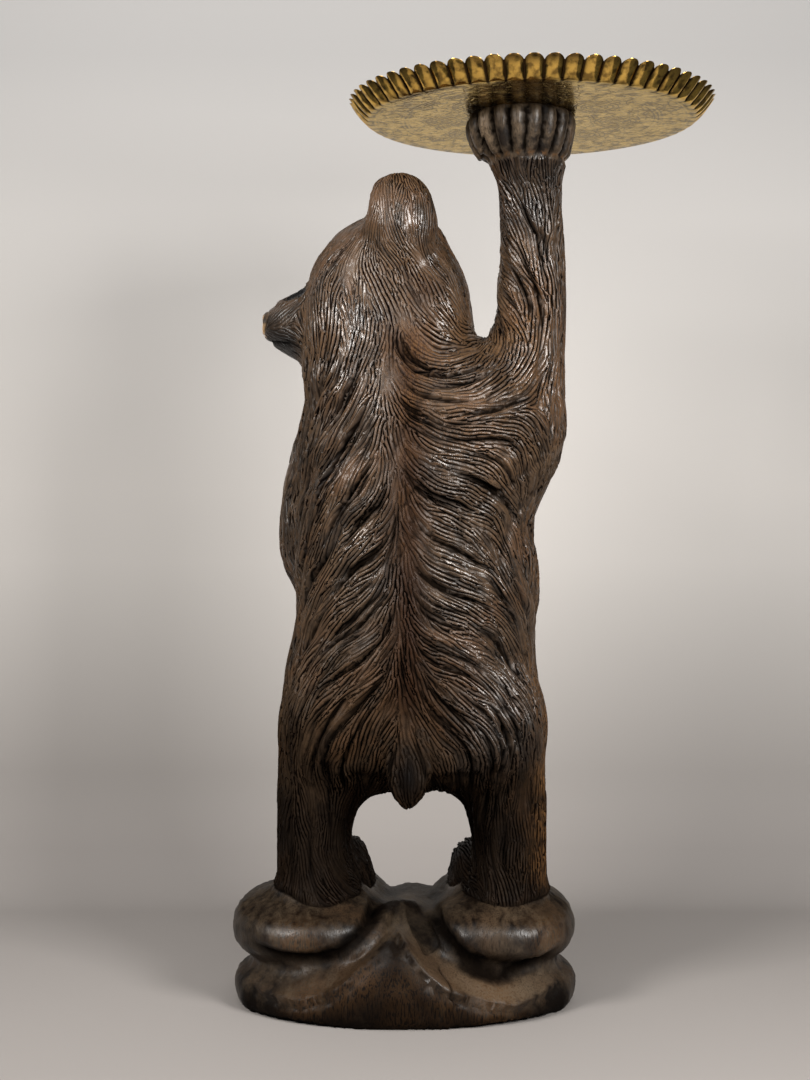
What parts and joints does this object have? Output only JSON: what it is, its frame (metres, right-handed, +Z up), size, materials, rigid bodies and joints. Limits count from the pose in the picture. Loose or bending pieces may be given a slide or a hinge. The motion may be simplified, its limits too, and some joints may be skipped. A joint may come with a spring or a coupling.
{
  "type": "carved wooden bear with a tray",
  "caption": "Carved standing bear on a rock base, head turned aside, one arm raised to hold a round brass tray with a fluted rim.",
  "frame": {"origin": "middle of the base's flat underside", "axes": "+Z up, +Y towards the bear's back, +X towards its lowered left arm and its muzzle"},
  "size_m": [0.5031, 0.3802, 0.9385],
  "materials": {
    "carved_wood": "dark waxed hardwood with carved fur, worn to red-brown on the ridges",
    "tray_brass": "aged, hammered and engraved"
  },
  "bodies": {
    "root": {"bear": "carved_wood", "tray": "tray_brass"}
  },
  "joints": []
}
